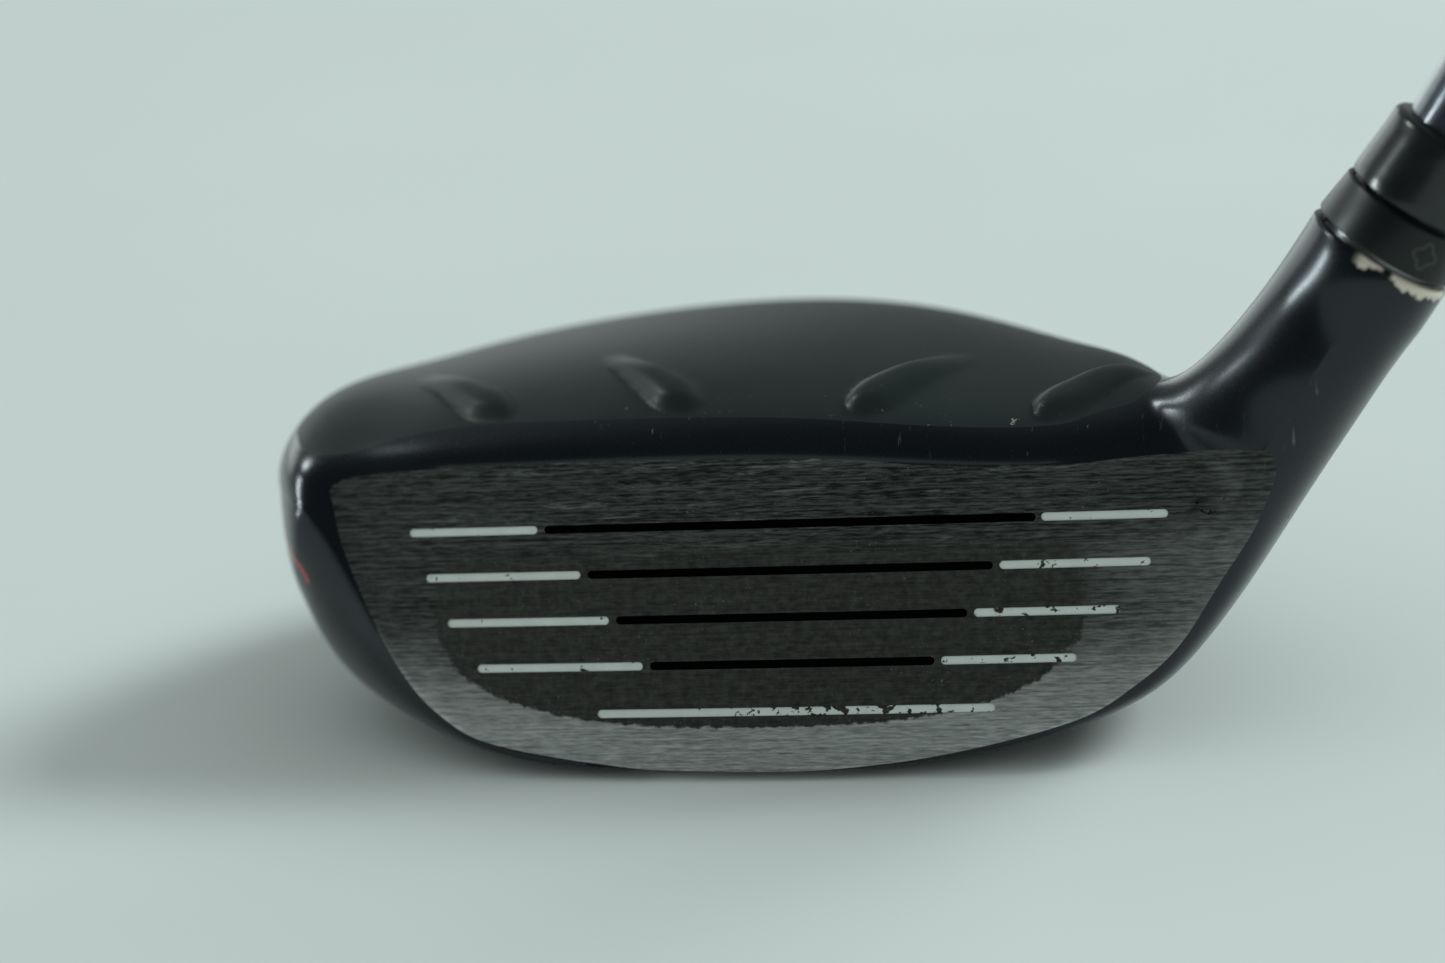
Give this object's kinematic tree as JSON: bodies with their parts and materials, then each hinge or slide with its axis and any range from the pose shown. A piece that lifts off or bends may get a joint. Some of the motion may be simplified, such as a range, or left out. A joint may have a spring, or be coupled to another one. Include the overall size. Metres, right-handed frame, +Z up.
{
  "type": "hybrid golf club",
  "caption": "Right-handed hybrid golf club with a milled face, low crown fins, an adjustable hosel sleeve, a graphite shaft and a rubber grip.",
  "frame": {"origin": "middle of the small flat on the sole that the head rests on, under the face's middle", "axes": "+Z up with the club soled at address, +X from the toe to the heel and the shaft's side, -Y the way the face looks"},
  "size_m": [0.6446, 0.0712, 0.8654],
  "materials": {
    "head_steel": "black physical-vapour coating with a soft gloss on the sole, skirt and hosel",
    "face_steel": "milled maraging steel, dark coated where the coating has not worn off, with paint-filled score lines",
    "crown_paint": "matte charcoal paint over steel",
    "bright_alloy": "machined, clear anodised",
    "bolt_steel": "turned, dark zinc",
    "weight_metal": "sintered heavy metal, turned",
    "collar_anodised": "matte black anodised with a lightly engraved setting mark",
    "ferrule_plastic": "polished black butyrate",
    "shaft_graphite": "dark blue-grey lacquer over filament-wound graphite",
    "rubber": "moulded black rubber",
    "tape": "creped paper tape",
    "glue": "tacky amber hot-melt glue"
  },
  "bodies": {
    "shaft_assembly": {"adapter_sleeve": "bright_alloy", "index_collar": "collar_anodised", "ferrule": "ferrule_plastic", "shaft": "shaft_graphite", "tip_plug": "bright_alloy", "grip_tape": "tape", "grip": "rubber", "grip_cap": "rubber"},
    "washer": {"bolt_washer": "bright_alloy"},
    "head": {"head_body": "head_steel", "face_plate": "face_steel", "crown": "crown_paint", "rattle_glue": "glue", "bolt_retainer": "rubber"},
    "bolt": {"hosel_bolt": "bolt_steel"},
    "weight_seal": {"weight_ring": "rubber"},
    "weight": {"sole_weight": "weight_metal"}
  },
  "joints": [
    {"name": "head_pull", "type": "slide", "parent": "shaft_assembly", "child": "washer", "axis": [-0.5563, 0, -0.831], "range_m": [0, 0.0085]},
    {"name": "head_index", "type": "hinge", "parent": "washer", "child": "head", "pos_m": [0.0564, 0.002, 0.0452], "axis": [0.5563, 0, 0.831], "continuous": true},
    {"name": "bolt_turn", "type": "hinge", "parent": "washer", "child": "bolt", "pos_m": [0.0564, 0.002, 0.0452], "axis": [-0.5563, 0, -0.831], "range_deg": [0, 3826]},
    {"name": "weight_lift", "type": "slide", "parent": "head", "child": "weight_seal", "axis": [0, 0.225, -0.9744], "range_m": [0, 0.006]},
    {"name": "weight_turn", "type": "hinge", "parent": "weight_seal", "child": "weight", "pos_m": [0, 0.032, 0.003], "axis": [0, 0.225, -0.9744], "range_deg": [0, 2161]}
  ],
  "couplings": [
    {"joint": "bolt_turn", "follows": "head_pull", "rad_per_m": 7854},
    {"joint": "weight_turn", "follows": "weight_lift", "rad_per_m": 6283.2}
  ]
}
